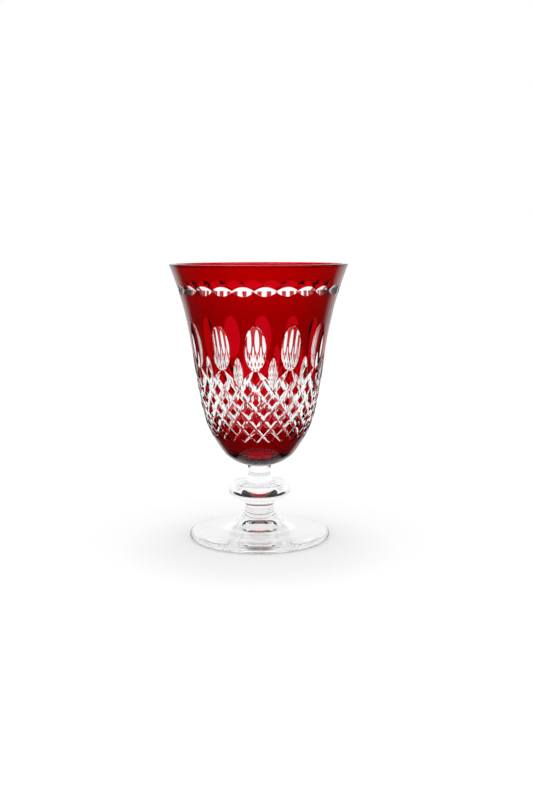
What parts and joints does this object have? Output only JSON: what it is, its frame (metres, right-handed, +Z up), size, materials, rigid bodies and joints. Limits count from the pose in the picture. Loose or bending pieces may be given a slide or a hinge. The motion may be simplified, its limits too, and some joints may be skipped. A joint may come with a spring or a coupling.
{
  "type": "footed water glass",
  "caption": "Flared ruby bowl cut through to clear with a lens border, ovals, leaves and a diamond lattice, on a clear stem with a disc knop and a round foot.",
  "frame": {"origin": "centre of the foot's ground ring, on the table", "axes": "+Z up along the axis of the glass; -Y goes out through the middle of one oval cut"},
  "size_m": [0.0896, 0.0896, 0.1398],
  "materials": {
    "clear_crystal": "polished clear crystal",
    "ruby_crystal": "polished ruby crystal, a thin casing over clear"
  },
  "bodies": {
    "root": {"bowl_core": "clear_crystal", "neck": "clear_crystal", "knop": "clear_crystal", "lower_stem": "clear_crystal", "foot": "clear_crystal", "ruby_band": "ruby_crystal", "ruby_base_cup": "ruby_crystal", "ruby_diamond_upper_01": "ruby_crystal", "ruby_diamond_upper_02": "ruby_crystal", "ruby_diamond_upper_03": "ruby_crystal", "ruby_diamond_upper_04": "ruby_crystal", "ruby_diamond_upper_05": "ruby_crystal", "ruby_diamond_upper_06": "ruby_crystal", "ruby_diamond_upper_07": "ruby_crystal", "ruby_diamond_upper_08": "ruby_crystal", "ruby_diamond_upper_09": "ruby_crystal", "ruby_diamond_upper_10": "ruby_crystal", "ruby_diamond_upper_11": "ruby_crystal", "ruby_diamond_upper_12": "ruby_crystal", "ruby_diamond_lower_01": "ruby_crystal", "ruby_diamond_lower_02": "ruby_crystal", "ruby_diamond_lower_03": "ruby_crystal", "ruby_diamond_lower_04": "ruby_crystal", "ruby_diamond_lower_05": "ruby_crystal", "ruby_diamond_lower_06": "ruby_crystal", "ruby_diamond_lower_07": "ruby_crystal", "ruby_diamond_lower_08": "ruby_crystal", "ruby_diamond_lower_09": "ruby_crystal", "ruby_diamond_lower_10": "ruby_crystal", "ruby_diamond_lower_11": "ruby_crystal", "ruby_diamond_lower_12": "ruby_crystal", "ruby_diamond_lower_13": "ruby_crystal", "ruby_diamond_lower_14": "ruby_crystal", "ruby_diamond_lower_15": "ruby_crystal", "ruby_diamond_lower_16": "ruby_crystal", "ruby_diamond_lower_17": "ruby_crystal", "ruby_diamond_lower_18": "ruby_crystal", "ruby_diamond_lower_19": "ruby_crystal", "ruby_diamond_lower_20": "ruby_crystal", "ruby_diamond_lower_21": "ruby_crystal", "ruby_diamond_lower_22": "ruby_crystal", "ruby_diamond_lower_23": "ruby_crystal", "ruby_diamond_lower_24": "ruby_crystal"}
  },
  "joints": []
}
